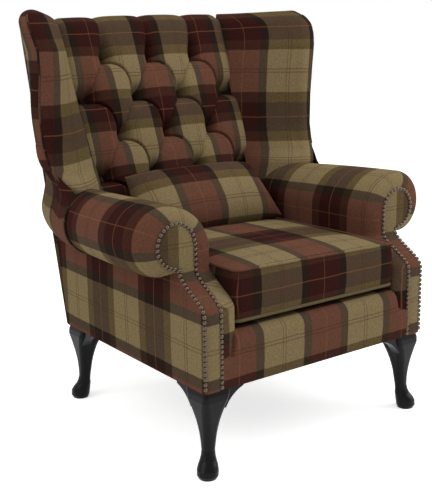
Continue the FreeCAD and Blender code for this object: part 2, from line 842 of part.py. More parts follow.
# LEGS
# Cabriole leg, from the top block to the sole: height, inset of its centre from the corner of the
# base along both sides, half width and corner radius.
leg_stations = [
    (base, 39, 36, 8),
    (192, 36, 36.2, 9),
    (180, 34, 35.5, 12),
    (160, 33, 31, 16),
    (145, 32, 27, 16),
    (130, 31.5, 23.5, 16),
    (115, 31, 20.5, 15),
    (100, 30.5, 18, 14),
    (80, 30, 16, 13.5),
    (62, 29, 14.8, 13.5),
    (50, 27.5, 16, 15),
    (40, 26, 18.5, 17.5),
    (30, 22.5, 22, 21),
    (20, 20, 24.5, 24),
    (8, 19, 24, 23.5),
    (0, 19.5, 20, 19.5),
]


def leg_section(station):
    z, inset, half_side, corner = station
    signs = ((-1, -1), (1, -1), (1, 1), (-1, 1))
    points = [(-inset + half_side * a, inset + half_side * b, corner) for a, b in signs]
    return outline(points, lambda p: Vector(p.x, p.y, z))


leg_body = Part.makeLoft([leg_section(s) for s in leg_stations], True, True)
ear = val("ear_reach")
ear_start = 70
drop = base - val("ear_drop")
ear_edges = [
    Part.LineSegment(Vector(-ear_start, 8, base), Vector(-ear_start - ear, 8, base)).toShape(),
    Part.LineSegment(Vector(-ear_start - ear, 8, base), Vector(-ear_start - ear, 8, base - 6)).toShape(),
    Part.Arc(
        Vector(-ear_start - ear, 8, base - 6),
        Vector(-ear_start - ear * 0.38, 8, base - 6 - val("ear_drop") * 0.3),
        Vector(-ear_start + 6, 8, drop),
    ).toShape(),
    Part.LineSegment(Vector(-ear_start + 6, 8, drop), Vector(-ear_start + 12, 8, drop)).toShape(),
    Part.LineSegment(Vector(-ear_start + 12, 8, drop), Vector(-ear_start + 12, 8, base)).toShape(),
    Part.LineSegment(Vector(-ear_start + 12, 8, base), Vector(-ear_start, 8, base)).toShape(),
]
ear_front = prism(Part.Wire(ear_edges), Vector(0, val("ear_thickness"), 0))
ear_side = ear_front.mirror(Vector(0, 0, 0), Vector(1, 1, 0))
leg_form = leg_body.fuse([ear_front, ear_side]).removeSplitter()
bolts = []
for end in ("front", "rear"):
    shape = leg_form.copy()
    if end == "front":
        corner = Vector(val("front_half_width"), deep(0), 0)
        hole = front_bolt
    else:
        shape = shape.mirror(Vector(0, 0, 0), Vector(0, 1, 0))
        corner = Vector(val("rear_half_width"), deep(val("base_depth")), 0)
        hole = rear_bolt
    shape.translate(corner)
    shape = shape.cut(bolt(hole, bolt_clear))
    leg_node = solid(end + "_leg", largest(shape))
    keep(leg_node, end + "_right_leg")
    mirrored(leg_node, end + "_left_leg")
    for sign in (1, -1):
        bolts.append(bolt((hole[0] * sign, hole[1]), val("bolt_radius")))
keep(solid("leg_bolts", Part.makeCompound(bolts)), "leg_bolts")

doc.recompute()
os.makedirs("parts", exist_ok=True)
for obj in doc.Objects:
    if "Invalid" in obj.State or "Error" in obj.State:
        raise RuntimeError("%s did not build" % obj.Label)
for obj in nodes:
    shape = obj.Shape
    if shape.isNull() or not shape.isValid() or not shape.Solids:
        raise RuntimeError("%s has no sound shape" % obj.Label)
    shape.exportStep("parts/%s.step" % obj.Label)
whole = Part.makeCompound([obj.Shape for obj in nodes]).BoundBox
print("%d nodes, %.1f x %.1f x %.1f mm" % (len(nodes), whole.XLength, whole.YLength, whole.ZLength))
print("Y from %.2f to %.2f" % (whole.YMin, whole.YMax))
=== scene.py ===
import math

import bpy
import numpy as np
from mathutils import Matrix, Vector


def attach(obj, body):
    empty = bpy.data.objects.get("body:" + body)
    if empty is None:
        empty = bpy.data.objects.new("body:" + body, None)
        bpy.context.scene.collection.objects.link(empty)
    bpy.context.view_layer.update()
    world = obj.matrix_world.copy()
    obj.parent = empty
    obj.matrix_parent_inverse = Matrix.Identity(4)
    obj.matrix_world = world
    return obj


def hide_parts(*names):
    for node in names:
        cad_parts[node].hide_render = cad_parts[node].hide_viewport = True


# Lengths are metres. X runs across the chair, Y from front to back, Z up. A depth is a distance behind
# the face of the front arm posts. Cloth coordinates are metres along and across the plaid, with the
# middle of a tan stripe at nought both ways.

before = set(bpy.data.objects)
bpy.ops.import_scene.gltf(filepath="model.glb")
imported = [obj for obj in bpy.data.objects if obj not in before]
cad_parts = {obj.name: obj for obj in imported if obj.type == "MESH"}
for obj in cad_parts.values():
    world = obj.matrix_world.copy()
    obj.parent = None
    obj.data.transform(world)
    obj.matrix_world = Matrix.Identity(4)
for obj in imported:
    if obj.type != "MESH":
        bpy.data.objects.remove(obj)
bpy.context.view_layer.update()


chair = {
    "frontPlane": -0.3937,
    "baseDepth": 0.648,
    "frontHalf": 0.345,
    "rearHalf": 0.310,
    "legHeight": 0.203,
    "backRake": 0.18,
    "backFlare": 0.029,
    "insideRake": 0.39,
    "buttonDepth": 0.549,
    "lowestButton": 0.495,
}
sides = {"left": -1, "right": 1}


def deep(depth):
    return chair["frontPlane"] + depth


def outsideBack(z):
    return chair["baseDepth"] + chair["backRake"] * (z - chair["legHeight"])


def buttonPlane(z):
    return chair["buttonDepth"] + chair["insideRake"] * (z - chair["lowestButton"])


def sideX(depth):
    return chair["frontHalf"] - (chair["frontHalf"] - chair["rearHalf"]) * depth / chair["baseDepth"]


def smooth(value):
    share = np.clip(value, 0, 1)
    return share * share * (3 - 2 * share)


def linked(name, data):
    thing = bpy.data.objects.new(name, data)
    bpy.context.collection.objects.link(thing)
    return thing


# Distance run along a grid of points, from its first row (axis 0) or first column (axis 1).
def runAlong(points, axis):
    steps = np.linalg.norm(np.diff(points, axis=axis), axis=-1)
    return np.concatenate([np.zeros_like(np.take(steps, [0], axis)), np.cumsum(steps, axis)], axis)


# A smooth surface from a grid of points, with cloth coordinates for each point, or for the four
# corners of each face where the pattern jumps.
def sheetMesh(name, points, cloth=None, corners=None, flip=False):
    rows, cols = points.shape[:2]
    index = np.arange(rows * cols).reshape(rows, cols)
    faces = np.stack([index[:-1, :-1], index[:-1, 1:], index[1:, 1:], index[1:, :-1]], -1).reshape(-1, 4)
    if corners is None:
        corners = cloth.reshape(-1, 2)[faces]
    corners = corners.reshape(-1, 4, 2)
    if flip:
        faces = faces[:, ::-1]
        corners = corners[:, ::-1]
    mesh = bpy.data.meshes.new(name)
    mesh.from_pydata(points.reshape(-1, 3).tolist(), [], faces.tolist())
    layer = mesh.uv_layers.new(name="cloth")
    layer.data.foreach_set("uv", np.ascontiguousarray(corners, dtype=np.float32).ravel())
    mesh.shade_smooth()
    return linked(name, mesh)


# Low domes, each given by its centre and the way it faces, as one mesh.
def domeMesh(name, domes, shape, mirror=1):
    across = Vector((1, 0, 0))
    rings, sectors = shape["rings"], shape["sectors"]
    vertices, faces = [], []
    for centre, outward in domes:
        upward = outward.cross(across)
        start = len(vertices)
        for ring in range(rings + 1):
            angle = math.pi / 2 * ring / rings
            for sector in range(sectors):
                turn = 2 * math.pi * sector / sectors
                flat = across * math.cos(turn) + upward * math.sin(turn)
                rise = outward * shape["height"] * math.sin(angle)
                point = centre + flat * shape["radius"] * math.cos(angle) + rise
                vertices.append((point.x * mirror, point.y, point.z))
        for ring in range(rings):
            low = start + ring * sectors
            for sector in range(sectors):
                after = (sector + 1) % sectors
                face = (low + sector, low + after, low + sectors + after, low + sectors + sector)
                faces.append(face if mirror > 0 else face[::-1])
    mesh = bpy.data.meshes.new(name)
    mesh.from_pydata(vertices, [], faces)
    mesh.shade_smooth()
    return linked(name, mesh)


def place(piece, material, body, nodes=()):
    piece.data.materials.clear()
    piece.data.materials.append(material)
    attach(piece, body)
    if nodes:
        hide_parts(*nodes)
    return piece


# A round cord along a path of points. Its cloth runs along the cord, or stays where `across` says,
# as that of a closed cord cut from the piece beside it does.
def cordMesh(name, path, radius, closed, cloth, sections=10, across=None):
    path = np.asarray(path)
    if closed:
        along = np.roll(path, -1, 0) - np.roll(path, 1, 0)
    else:
        along = np.gradient(path, axis=0)
    along /= np.linalg.norm(along, axis=1)[:, None]
    out = np.cross(along, (0, 0, 1.0))
    out /= np.linalg.norm(out, axis=1)[:, None] + 1e-9
    up = np.cross(out, along)
    turn = np.linspace(0, 2 * math.pi, sections + 1)
    ring = path[:, None] + radius * (
        np.cos(turn)[None, :, None] * out[:, None] + np.sin(turn)[None, :, None] * up[:, None]
    )
    if closed:
        ring = np.concatenate([ring, ring[:1]])
    run = runAlong(ring, 0)
    around = np.broadcast_to(turn * radius, run.shape)
    spread = np.stack([cloth[0] + around, cloth[1] + run], -1)
    if across is not None:
        spots = np.broadcast_to(np.append(across, across[0])[:, None], run.shape)
        spread = np.stack([spots, cloth[1] + around], -1)
    return sheetMesh(name, ring, spread, flip=True)


# Colours are written as 0 to 255 screen values and turned into linear light.
def linear(red, green, blue):
    levels = [value / 255 for value in (red, green, blue)]
    return [v / 12.92 if v <= 0.04045 else ((v + 0.055) / 1.055) ** 2.4 for v in levels] + [1.0]


plaid = {
    "warpRepeat": 0.264,
    "weftRepeat": 0.242,
    "warpTan": 0.121,
    "warpDark": 0.024,
    "weftTan": 0.112,
    "weftOlive": 0.027,
    "edge": 0.0008,
    "pairGap": 0.0042,
    "lineHalf": 0.0011,
    "tanWeft": {"tan": (114, 99, 70), "dark": (68, 55, 43), "rust": (89, 58, 45)},
    "oliveWeft": {"tan": (82, 68, 44), "dark": (43, 32, 23), "rust": (55, 31, 24)},
    "taupeWeft": {"tan": (68, 54, 41), "dark": (33, 23, 18), "rust": (44, 20, 17)},
    "brownLine": (62, 38, 28),
    "peachLine": (136, 88, 56),
}


def mathNode(tree, operation, first, second=None, third=None):
    node = tree.nodes.new("ShaderNodeMath")
    node.operation = operation
    for socket, value in zip(node.inputs, (first, second, third)):
        if value is None:
            continue
        if isinstance(value, (int, float)):
            socket.default_value = value
        else:
            tree.links.new(value, socket)
    return node.outputs[0]


def rampNode(tree, factor, stops):
    node = tree.nodes.new("ShaderNodeValToRGB")
    elements = node.color_ramp.elements
    while len(elements) < len(stops):
        elements.new(0.5)
    for element, (position, colour) in zip(elements, stops):
        element.position = position
        element.color = colour
    tree.links.new(factor, node.inputs["Fac"])
    return node.outputs["Color"]


def mixNode(tree, factor, first, second, mode="MIX"):
    node = tree.nodes.new("ShaderNodeMix")
    node.data_type = "RGBA"
    node.blend_type = mode
    for name, value in (("Factor", factor), ("A", first), ("B", second)):
        socket = [s for s in node.inputs if s.name == name and s.enabled][0]
        if isinstance(value, (int, float, list)):
            socket.default_value = value
        else:
            tree.links.new(value, socket)
    return [s for s in node.outputs if s.enabled][0]


# Position stops for three bands about the middle of a repeat: inner, border and outer.
def bandStops(inner, border, repeat, colours):
    edge = plaid["edge"] / repeat
    first = inner / 2 / repeat
    second = first + border / repeat
    middle, side, outer = colours
    return [
        (0, outer), (0.5 - second - edge, outer), (0.5 - second + edge, side), (0.5 - first - edge, side),
        (0.5 - first + edge, middle), (0.5 + first - edge, middle), (0.5 + first + edge, side),
        (0.5 + second - edge, side), (0.5 + second + edge, outer),
    ]


def plaidGroup():
    tree = bpy.data.node_groups.new("plaidCloth", "ShaderNodeTree")
    tree.interface.new_socket("Cloth", in_out="INPUT", socket_type="NodeSocketVector")
    tree.interface.new_socket("Colour", in_out="OUTPUT", socket_type="NodeSocketColor")
    tree.interface.new_socket("Height", in_out="OUTPUT", socket_type="NodeSocketFloat")
    source = tree.nodes.new("NodeGroupInput")
    result = tree.nodes.new("NodeGroupOutput")
    cloth = tree.nodes.new("ShaderNodeSeparateXYZ")
    tree.links.new(source.outputs["Cloth"], cloth.inputs[0])
    wobble = tree.nodes.new("ShaderNodeTexNoise")
    wobble.inputs["Scale"].default_value = 14
    tree.links.new(source.outputs["Cloth"], wobble.inputs["Vector"])
    shift = mathNode(tree, "MULTIPLY_ADD", wobble.outputs["Fac"], 0.004, -0.002)
    shares = []
    for channel, repeat in (("X", plaid["warpRepeat"]), ("Y", plaid["weftRepeat"])):
        moved = mathNode(tree, "ADD", cloth.outputs[channel], shift)
        shares.append(mathNode(tree, "FRACT", mathNode(tree, "MULTIPLY_ADD", moved, 1 / repeat, 0.5)))
    warp, weft = shares
    layers = []
    for name in ("tanWeft", "oliveWeft", "taupeWeft"):
        colours = [linear(*plaid[name][key]) for key in ("tan", "dark", "rust")]
        stops = bandStops(plaid["warpTan"], plaid["warpDark"], plaid["warpRepeat"], colours)
        layers.append(rampNode(tree, warp, stops))
    black, white = [0, 0, 0, 1], [1, 1, 1, 1]
    isBorder = rampNode(tree, weft, bandStops(
        plaid["weftTan"], plaid["weftOlive"], plaid["weftRepeat"], (black, white, white)))
    isTaupe = rampNode(tree, weft, bandStops(
        plaid["weftTan"], plaid["weftOlive"], plaid["weftRepeat"], (black, black, white)))
    colour = mixNode(tree, isBorder, layers[0], layers[1])
    colour = mixNode(tree, isTaupe, colour, layers[2])
    for share, repeat, strength in ((warp, plaid["warpRepeat"], 0.55), (weft, plaid["weftRepeat"], 0.70)):
        middle = mathNode(tree, "ABSOLUTE", mathNode(tree, "SUBTRACT", share, 0.5))
        away = mathNode(tree, "MULTIPLY", middle, repeat)
        pair = mathNode(tree, "ABSOLUTE", mathNode(tree, "SUBTRACT", away, plaid["pairGap"]))
        single = mathNode(tree, "MULTIPLY_ADD", middle, -repeat, repeat / 2)
        for distance, tint, share in ((pair, plaid["brownLine"], 0.8), (single, plaid["peachLine"], 0.45)):
            fall = mathNode(tree, "DIVIDE", distance, plaid["lineHalf"])
            level = mathNode(tree, "SUBTRACT", 1.6, fall)
            level.node.use_clamp = True
            colour = mixNode(tree, mathNode(tree, "MULTIPLY", level, strength * share), colour, linear(*tint))
    streaks = []
    for scale in ((900, 45, 1), (45, 900, 1), (190, 190, 1)):
        stretch = tree.nodes.new("ShaderNodeVectorMath")
        stretch.operation = "MULTIPLY"
        stretch.inputs[1].default_value = scale
        tree.links.new(source.outputs["Cloth"], stretch.inputs[0])
        noise = tree.nodes.new("ShaderNodeTexNoise")
        noise.inputs["Scale"].default_value = 1
        noise.inputs["Detail"].default_value = 2
        tree.links.new(stretch.outputs[0], noise.inputs["Vector"])
        streaks.append(noise.outputs["Fac"])
    threads = mathNode(tree, "ADD", streaks[0], streaks[1])
    heather = mathNode(tree, "ADD", mathNode(tree, "MULTIPLY", threads, 0.5), streaks[2])
    level = mathNode(tree, "MULTIPLY_ADD", heather, 0.7, 0.3)
    scaled = tree.nodes.new("ShaderNodeVectorMath")
    scaled.operation = "SCALE"
    tree.links.new(colour, scaled.inputs[0])
    tree.links.new(level, scaled.inputs["Scale"])
    tree.links.new(scaled.outputs[0], result.inputs["Colour"])
    tree.links.new(threads, result.inputs["Height"])
    return tree


def shaderOf(material):
    return material.node_tree.nodes["Principled BSDF"]


def newMaterial(name, colour, roughness, metallic=0.0, specular=0.5):
    material = bpy.data.materials.new(name)
    material.use_nodes = True
    shader = shaderOf(material)
    shader.inputs["Base Color"].default_value = colour
    shader.inputs["Roughness"].default_value = roughness
    shader.inputs["Metallic"].default_value = metallic
    shader.inputs["Specular IOR Level"].default_value = specular
    return material


def plaidMaterial():
    material = newMaterial("plaidWool", linear(120, 90, 60), 1.0, specular=0.04)
    shader = shaderOf(material)
    tree = material.node_tree
    cloth = tree.nodes.new("ShaderNodeUVMap")
    cloth.uv_map = "cloth"
    group = tree.nodes.new("ShaderNodeGroup")
    group.node_tree = plaidGroup()
    tree.links.new(cloth.outputs[0], group.inputs["Cloth"])
    tree.links.new(group.outputs["Colour"], shader.inputs["Base Color"])
    bump = tree.nodes.new("ShaderNodeBump")
    bump.inputs["Strength"].default_value = 0.35
    bump.inputs["Distance"].default_value = 0.0008
    tree.links.new(group.outputs["Height"], bump.inputs["Height"])
    tree.links.new(bump.outputs[0], shader.inputs["Normal"])
    return material


wool = plaidMaterial()
lacquer = newMaterial("blackLacquer", linear(9, 8, 9), 0.28, specular=0.12)
brass = newMaterial("antiqueBrass", linear(84, 72, 62), 0.30, metallic=1.0)
lining = newMaterial("blackLining", linear(20, 20, 20), 0.9)
piping = newMaterial("pipingCloth", linear(86, 74, 52), 0.95, specular=0.15)
print("materials made")

# The arms: padding round a roll, a facing with nails at the front, and an outside panel.
arm = {
    "scrollSetback": 0.088,
    "shoulder": 0.376,
    "neck": 0.458,
    "rollReach": 0.455,
    "rollZ": 0.525,
    "rollRadius": 0.080,
    "rearReach": 0.335,
    "rearRadius": 0.070,
    "rearDrop": 0.016,
    "sweep": 2.5,
    "spring": 0.500,
    "nailX": 0.350,
    "nailZ": 0.515,
    "nailRadius": 0.049,
    "nailInner": 0.299,
    "nailOuter": 0.344,
    "border": 0.040,
    "innerBorder": 0.022,
    "inner": {"left": 0.247, "right": 0.257},
    "tuckZ": 0.453,
    "railTop": 0.262,
    "rearEnd": 0.700,
    "undersideTurn": -85,
}


# The front of the arm leans back between the shoulder and the neck.
def postFront(z):
    return arm["scrollSetback"] * smooth((z - arm["shoulder"]) / (arm["neck"] - arm["shoulder"]))


def rollAt(depth):
    run = outsideBack(arm["rollZ"]) - arm["scrollSetback"]
    share = np.clip((depth - arm["scrollSetback"]) / run, 0, 1.05)
    radius = arm["rollRadius"] + (arm["rearRadius"] - arm["rollRadius"]) * np.minimum(share, 1)
    reach = arm["rollReach"] + (arm["rearReach"] - arm["rollReach"]) * share ** arm["sweep"]
    return reach - radius, radius, arm["rollZ"] - arm["rearDrop"] * share ** arm["sweep"]


# Stations round the arm from the inside wall over the roll to the underside: a wall height or an
# angle, and where each stands on the nail line.
def armStations():
    wall = [("wall", z) for z in np.linspace(arm["railTop"], arm["spring"], 44)]
    haunch = [("haunch", a) for a in np.radians(np.linspace(180, 90, 34)[1:])]
    roll = [("roll", a) for a in np.radians(np.linspace(90, arm["undersideTurn"], 60)[1:])]
    tuck = [("tuck", share) for share in np.linspace(0, 1, 8)[1:]]
    return wall + haunch + roll + tuck


def nailPoint(kind, value):
    if kind == "wall":
        return arm["nailInner"], value
    angle = value if kind in ("haunch", "roll") else math.radians(-90)
    x = arm["nailX"] + arm["nailRadius"] * math.cos(angle)
    z = arm["nailZ"] + arm["nailRadius"] * math.sin(angle)
    if kind == "tuck":
        x -= 0.004 * value
    return x, z


def armOuter(kind, value, depth, inner):
    x, radius, z = rollAt(depth)
    if kind == "wall":
        return np.full_like(x, inner), np.full_like(x, value)
    if kind == "haunch":
        rise = z + radius - arm["spring"]
        return x + (x - inner) * math.cos(value), arm["spring"] + rise * math.sin(value)
    angle = math.radians(arm["undersideTurn"]) if kind == "tuck" else value
    outX, outZ = x + radius * math.cos(angle), z + radius * math.sin(angle)
    if kind == "roll":
        return outX, outZ
    inX = np.minimum(sideX(depth) - 0.002, outX)
    return outX + (inX - outX) * value, outZ + (arm["tuckZ"] - outZ) * value


def armGrid(stations, inner):
    turns = np.linspace(0, math.pi / 2, 12)
    backShares = np.linspace(0, 1, 60)[1:]
    columns, depths = [], []
    for kind, value in stations:
        nailX, nailZ = nailPoint(kind, value)
        start = postFront(nailZ)
        width = arm["border"] * (1 if kind != "tuck" else 1 - 0.4 * value)
        if kind in ("wall", "haunch"):
            over = 1 - (math.sin(value) if kind == "haunch" else 0)
            width += (arm["innerBorder"] - arm["border"]) * over
        frontX, frontZ = armOuter(kind, value, np.array([start + width]), inner)
        bulge = np.sin(turns)
        x = nailX + (frontX - nailX) * bulge
        z = nailZ + (frontZ - nailZ) * bulge
        depth = start + width * (1 - np.cos(turns))
        end = min(arm["rearEnd"], outsideBack(float(frontZ[0])) - 0.018)
        back = start + width + (end - start - width) * backShares
        backX, backZ = armOuter(kind, value, back, inner)
        columns.append(np.stack([
            np.concatenate([x, backX]), deep(np.concatenate([depth, back])), np.concatenate([z, backZ])
        ], -1))
        depths.append(np.concatenate([start + width - width * (math.pi / 2 - turns), back]))
    return np.array(columns), np.array(depths)


armCloth = {
    "left": {"rustAngle": 28, "weftMiddle": 0.296},
    "right": {"rustAngle": 26, "weftMiddle": 0.361},
}


def makeArm(side):
    stations = armStations()
    points, depths = armGrid(stations, arm["inner"][side])
    girth = runAlong(points, 0)[:, 30]
    angle = math.radians(armCloth[side]["rustAngle"])
    turned = [i for i, station in enumerate(stations) if station[0] in ("haunch", "roll")]
    nearest = min(turned, key=lambda i: abs(stations[i][1] - angle))
    rustMiddle = plaid["warpRepeat"] / 2
    across = np.broadcast_to((girth - girth[nearest] + rustMiddle)[:, None], depths.shape)
    cloth = np.stack([across, depths - armCloth[side]["weftMiddle"]], -1)
    points[..., 0] *= sides[side]
    piece = sheetMesh(side + "Arm", points, cloth, flip=sides[side] < 0)
    nodes = [side + "_arm_pad", side + "_arm_front_border", side + "_arm_board"]
    return place(piece, wool, "chair", nodes)


facing = {"foot": 0.2035, "puff": 0.004, "recess": 0.001, "tanHeight": 0.294, "weftMiddle": 0.289}


def facingEdges(z):
    lift = np.clip((z - arm["nailZ"]) / arm["nailRadius"], -1, 1)
    swing = arm["nailRadius"] * np.sqrt(1 - lift ** 2)
    inner = np.where(z < arm["nailZ"], arm["nailInner"], arm["nailX"] - swing)
    outer = np.where(z < arm["nailZ"] - arm["nailRadius"], arm["nailOuter"], arm["nailX"] + swing)
    return inner, outer


def makeFacing(side):
    top = arm["nailZ"] + arm["nailRadius"]
    z = np.linspace(facing["foot"], top, 190)
    inner, outer = facingEdges(z)
    share = np.linspace(0, 1, 14)
    x = inner[:, None] + (outer - inner)[:, None] * share
    depth = postFront(z)
    rise = np.concatenate([[0], np.cumsum(np.hypot(np.diff(z), np.diff(depth)))])
    puffed = facing["recess"] - facing["puff"] * np.sin(math.pi * share) ** 0.6
    y = deep(depth[:, None] + puffed * np.ones_like(x))
    points = np.stack([x * sides[side], y, np.broadcast_to(z[:, None], x.shape)], -1)
    along = rise - (facing["tanHeight"] - facing["foot"])
    cloth = np.stack([np.broadcast_to(along[:, None], x.shape), x - facing["weftMiddle"]], -1)
    piece = sheetMesh(side + "Facing", points, cloth, flip=sides[side] < 0)
    return place(piece, wool, "chair", [side + "_arm_facing"])


nails = {
    "pitch": 0.0115, "radius": 0.0053, "height": 0.0034, "stand": 0.0012, "first": 0.210,
    "lastTurn": -82, "outerTop": 0.056, "rings": 4, "sectors": 12,
}


# The nail line runs up the inner edge of the facing, round the scroll and down its outer edge.
def nailPath():
    up = [(arm["nailInner"], z) for z in np.linspace(nails["first"], arm["nailZ"], 160)]
    turn = np.radians(np.linspace(180, nails["lastTurn"], 160))
    scroll = [nailPoint("roll", angle) for angle in turn]
    down = [(arm["nailOuter"], z) for z in np.linspace(arm["nailZ"] - nails["outerTop"], nails["first"], 140)]
    path = np.array(up + scroll + down)
    return np.stack([path[:, 0], deep(postFront(path[:, 1])), path[:, 1]], -1)


def makeNails(side):
    path = nailPath()
    run = np.concatenate([[0], np.cumsum(np.linalg.norm(np.diff(path, axis=0), axis=1))])
    places = np.arange(0, run[-1], nails["pitch"])
    heads = np.stack([np.interp(places, run, path[:, i]) for i in range(3)], -1)
    stepX, stepY, stepZ = np.gradient(heads, axis=0).T
    slope = stepY / (np.abs(stepZ) + np.abs(stepX) + 1e-6)
    domes = []
    for head, lean in zip(heads, slope):
        tilt = math.atan(abs(lean))
        outward = Vector((0, -math.cos(tilt), math.sin(tilt)))
        domes.append((Vector(head) + outward * nails["stand"], outward))
    piece = domeMesh(side + "Nails", domes, nails, sides[side])
    return place(piece, brass, "chair")


outsideArm = {"tanHeight": 0.297, "top": 0.456, "puff": 0.004, "tanDepth": 0.069, "repeat": 0.254}


def makeOutsideArm(side):
    z = np.linspace(chair["legHeight"], outsideArm["top"], 60)
    share = np.linspace(0, 1, 120)
    start = postFront(z) + 0.001
    depth = start[:, None] + (outsideBack(z) - 0.001 - start)[:, None] * share
    lift = (z - z[0]) / (z[-1] - z[0])
    puff = outsideArm["puff"] * np.sqrt(np.sin(math.pi * share)[None, :] * np.sin(math.pi * lift)[:, None])
    x = sideX(depth) + puff
    heights = np.broadcast_to(z[:, None], x.shape)
    points = np.stack([x * sides[side], deep(depth), heights], -1)
    along = (depth - outsideArm["tanDepth"]) * plaid["weftRepeat"] / outsideArm["repeat"]
    cloth = np.stack([heights - outsideArm["tanHeight"], along], -1)
    piece = sheetMesh(side + "OutsideArm", points, cloth, flip=sides[side] > 0)
    return place(piece, wool, "chair", [side + "_outside_arm"])


for side in sides:
    makeArm(side)
    makeFacing(side)
    makeNails(side)
    makeOutsideArm(side)
print("arms made")

# The wings. Each edge row is a height, the nose's reach to the side, its depth and its radius.
wing = {
    "edge": [
        (0.470, 0.380, 0.470, 0.036), (0.600, 0.402, 0.450, 0.036), (0.630, 0.419, 0.474, 0.037),
        (0.660, 0.423, 0.487, 0.037), (0.700, 0.427, 0.498, 0.037), (0.780, 0.434, 0.504, 0.037),
        (0.860, 0.442, 0.506, 0.037), (0.920, 0.452, 0.510, 0.037), (0.950, 0.460, 0.520, 0.036),
        (0.975, 0.463, 0.532, 0.036), (1.010, 0.456, 0.560, 0.034),
    ],
    "noseTurn": 44,
    "innerSetback": 0.022,
    "junction": (0.257, 0.276),
    "topRadius": 0.034,
    "seamTurn": 0.62,
    "foot": 0.470,
    "top": 1.016,
    "trim": {"left": 0.026, "right": 0.0},
    "frontRise": 0.004,
    "seamLow": 0.640,
    "weltRadius": 0.0026,
    "weltCloth": (0.07, 0.07),
    "bulge": 0.010,
    "insideCount": 35,
    "noseCount": 40,
    "outsideCount": 39,
}
# How far across the cloth the front edge lies, low down, half way and above, then the height of the
# tan weft and how much the cloth is stretched upward. Squeeze narrows the cloth inside the edge.
wingCloth = {
    "left": {"across": (0.045, 0.080, 0.108), "tanHeight": 0.880, "stretch": 0.90, "squeeze": 0.6},
    "right": {"across": (0.080, 0.080, 0.080), "tanHeight": 0.872, "stretch": 0.93, "squeeze": 1.0},
    "outside": {"across": (0.150, 0.150, 0.150), "tanHeight": 0.726, "stretch": 0.95, "squeeze": 1.0},
    "heights": (0.606, 0.660, 0.760),
}


def wingEdge(z):
    table = np.array(wing["edge"])
    return [np.interp(z, table[:, 0], table[:, i]) for i in (1, 2, 3)]


def tangentAngle(point, centre, radius, side):
    toward = np.array(point) - np.array(centre)
    return math.atan2(toward[1], toward[0]) + side * math.acos(radius / np.hypot(*toward))


def rearCorner(z):
    return chair["rearHalf"] + chair["backFlare"] * (z - chair["legHeight"]), outsideBack(z)


# One level of the wing in plan, from the inside back round the front edge to the outside back corner.
def wingLevel(z, shrink, trim=0.0):
    noseX, noseDepth, radius = wingEdge(z)
    noseX -= trim * float(smooth((z - 0.74) / 0.24))
    turn = math.radians(wing["noseTurn"])
    centre = np.array([noseX - radius * math.cos(turn), noseDepth + radius * math.sin(turn)])
    low, high = wing["junction"]
    inner = np.array([np.interp(z, (0.6, 1.0), (low, high)) - 0.012, buttonPlane(z) - wing["innerSetback"]])
    rear = np.array(rearCorner(z))
    first = tangentAngle(inner, centre, radius, 1)
    last = tangentAngle(rear, centre, radius, -1)
    turns = np.linspace(first, last if last > first else last + 2 * math.pi, wing["noseCount"])
    arc = centre + radius * np.stack([np.cos(turns), np.sin(turns)], -1)
    insideShare = np.linspace(0, 1, wing["insideCount"] + 1)[:-1]
    outsideShare = np.linspace(0, 1, wing["outsideCount"] + 1)[1:]
    inside = inner + (arc[0] - inner) * insideShare[:, None]
    bulge = wing["bulge"] * np.sin(math.pi * insideShare) ** 0.8
    away = np.array([(arc[0] - inner)[1], -(arc[0] - inner)[0]])
    inside = inside + bulge[:, None] * away / np.hypot(*away)
    outside = arc[-1] + (rear - arc[-1]) * outsideShare[:, None]
    path = np.concatenate([inside, arc, outside])
    middle = (inner + rear) / 2
    spineShare = np.concatenate([1 - insideShare, np.zeros(wing["noseCount"]), outsideShare])
    spine = centre + (middle - centre) * spineShare[:, None]
    return spine + (path - spine) * shrink


def makeWing(side):
    straight = np.linspace(wing["foot"], wing["top"] - wing["topRadius"], 90)
    turns = np.linspace(0, math.pi / 2, 16)[1:]
    levels = [(z, 1.0) for z in straight]
    levels += [(wing["top"] - wing["topRadius"] * (1 - math.sin(a)), max(math.cos(a), 0.02)) for a in turns]
    rows = [wingLevel(z, shrink, wing["trim"][side]) for z, shrink in levels]
    z = np.array([z for z, shrink in levels])
    plan = np.array(rows)
    tall = np.broadcast_to(z[:, None], plan.shape[:2])
    rise = wing["frontRise"] * smooth((tall - 0.85) / 0.16) * (1 - 2 * smooth((plan[..., 1] - 0.52) / 0.25))
    points = np.stack([plan[..., 0], deep(plan[..., 1]), tall + rise], -1)
    tip = wing["insideCount"] + wing["noseCount"] // 2
    seam = wing["insideCount"] + int(wing["noseCount"] * wing["seamTurn"])
    upward = runAlong(points, 0)[:, tip - 5] + wing["foot"]
    across = runAlong(points, 1)
    across = across - across[:, tip:tip + 1]
    heights = np.broadcast_to(upward[:, None], across.shape)
    points[..., 0] *= sides[side]
    skirtRow = int(np.searchsorted(z, skirt["top"] - 0.004))

    def part(name, key, rows, columns):
        values = wingCloth[key]
        over = across + np.interp(heights, wingCloth["heights"], values["across"])
        over = np.where(over < 0, over * values["squeeze"], over)
        cloth = np.stack([over, (heights - values["tanHeight"]) * values["stretch"]], -1)
        return sheetMesh(side + name, points[rows, columns], cloth[rows, columns], flip=sides[side] > 0)

    inner = part("Wing", side, slice(0, None), slice(0, seam + 1))
    outer = part("OutsideWing", "outside", slice(skirtRow, None), slice(seam, None))
    place(inner, wool, "chair", [side + "_wing_pad", side + "_wing_post"])
    place(outer, wool, "chair", [side + "_outside_wing"])
    shown = (z > wing["seamLow"]) & (z < wing["top"] - 0.012)
    welt = cordMesh(side + "WingSeam", points[shown, seam], wing["weltRadius"], False, wing["weltCloth"])
    return place(welt, wool, "chair")


